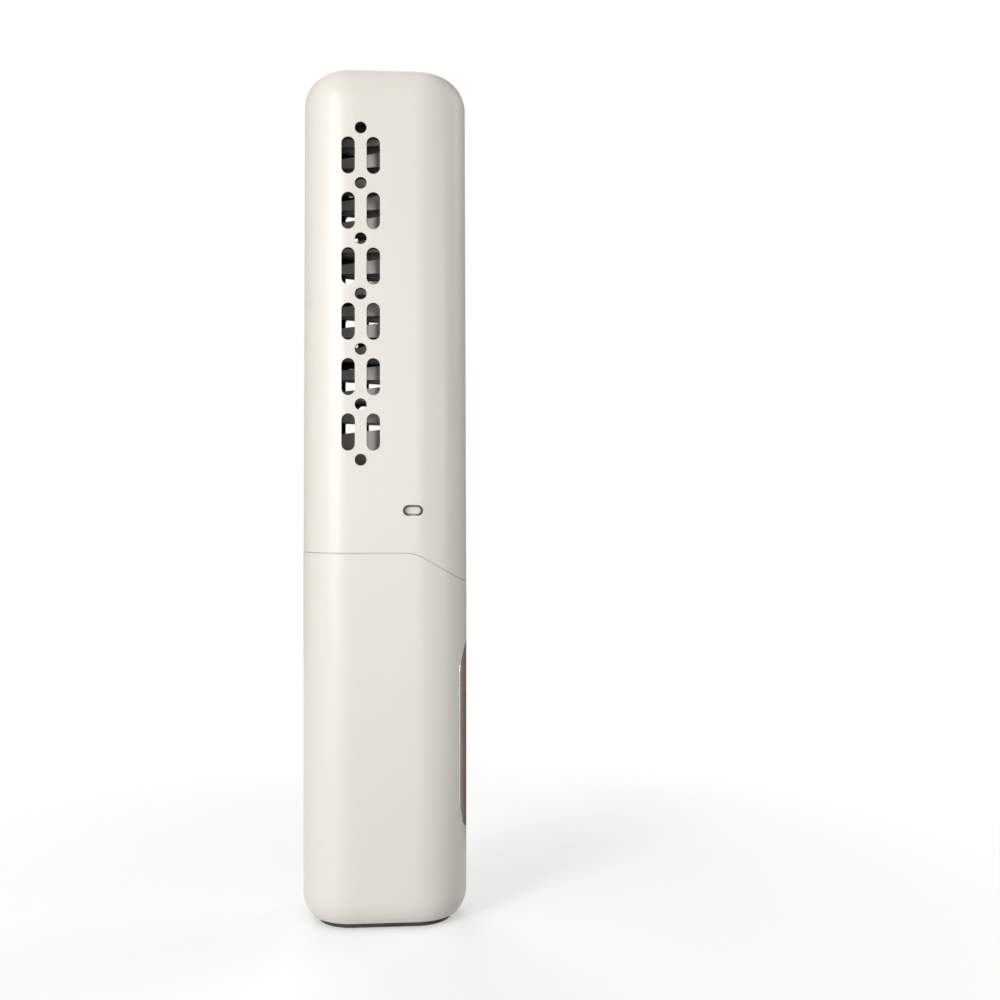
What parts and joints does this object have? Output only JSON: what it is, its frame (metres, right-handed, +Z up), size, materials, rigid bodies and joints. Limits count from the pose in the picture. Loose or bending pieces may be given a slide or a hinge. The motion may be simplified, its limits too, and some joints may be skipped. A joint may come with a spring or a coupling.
{
  "type": "cordless hair straightening comb",
  "caption": "Pocket hair straightening comb with an oblong grip, a heated tooth head and a vented lift-off travel cap.",
  "frame": {"origin": "middle of the underside that it stands on", "axes": "+Z up along the grip and the comb, -X the way the teeth point, +X the side with the power button and the panel, -Y the front"},
  "size_m": [0.0386, 0.025, 0.1994],
  "materials": {
    "cap_white": "satin, fine",
    "grip_white": "satin, fine",
    "comb_white": "satin, heat-proof",
    "panel_pink": "high gloss",
    "button_pink": "gloss",
    "seal_brown": "matte",
    "pad_dark": "matte",
    "comb_cast": "cast, anodised",
    "heater_ceramic": "fired, matte",
    "mica_board": "pressed sheet",
    "fuse_metal": "plain",
    "bead_glass": "fired",
    "lead_silicone": "matte",
    "switch_black": "moulded",
    "plunger_grey": "moulded",
    "tray_grey": "moulded",
    "cell_sleeve": "shrink sleeve over the can",
    "tab_nickel": "plain strip",
    "board_green": "solder mask",
    "component_black": "moulded",
    "light_lens": "milky",
    "inlet_steel": "drawn",
    "tongue_black": "moulded",
    "screw_steel": "zinc plated"
  },
  "bodies": {
    "handle": {"handle_sleeve": "grip_white", "base_pad": "pad_dark", "side_panel": "panel_pink", "panel_gasket": "seal_brown", "head_front_shell": "comb_white", "head_rear_shell": "comb_white", "heater_comb": "comb_cast", "ceramic_heater": "heater_ceramic", "spine_insulator": "mica_board", "thermal_fuse": "fuse_metal", "temperature_sensor": "bead_glass", "heater_leads": "lead_silicone", "heat_barrier": "mica_board", "button_gasket": "seal_brown", "tact_switch": "switch_black", "cell_tray": "tray_grey", "battery_cell": "cell_sleeve", "cell_tabs": "tab_nickel", "main_board": "board_green", "board_components": "component_black", "indicator_lights": "light_lens", "usb_socket": "inlet_steel", "usb_tongue": "tongue_black", "base_screws": "screw_steel", "head_screws": "screw_steel", "board_screws": "screw_steel"},
    "cap": {"cap_shell": "cap_white"},
    "button": {"power_button": "button_pink", "switch_plunger": "plunger_grey"}
  },
  "joints": [
    {"name": "cap_lift", "type": "slide", "parent": "handle", "child": "cap", "axis": [0, 0, 1], "range_m": [0, 0.12]},
    {"name": "button_press", "type": "slide", "parent": "handle", "child": "button", "axis": [-1, 0, 0], "range_m": [0, 0.0005], "stiffness_N_per_m": 400}
  ]
}
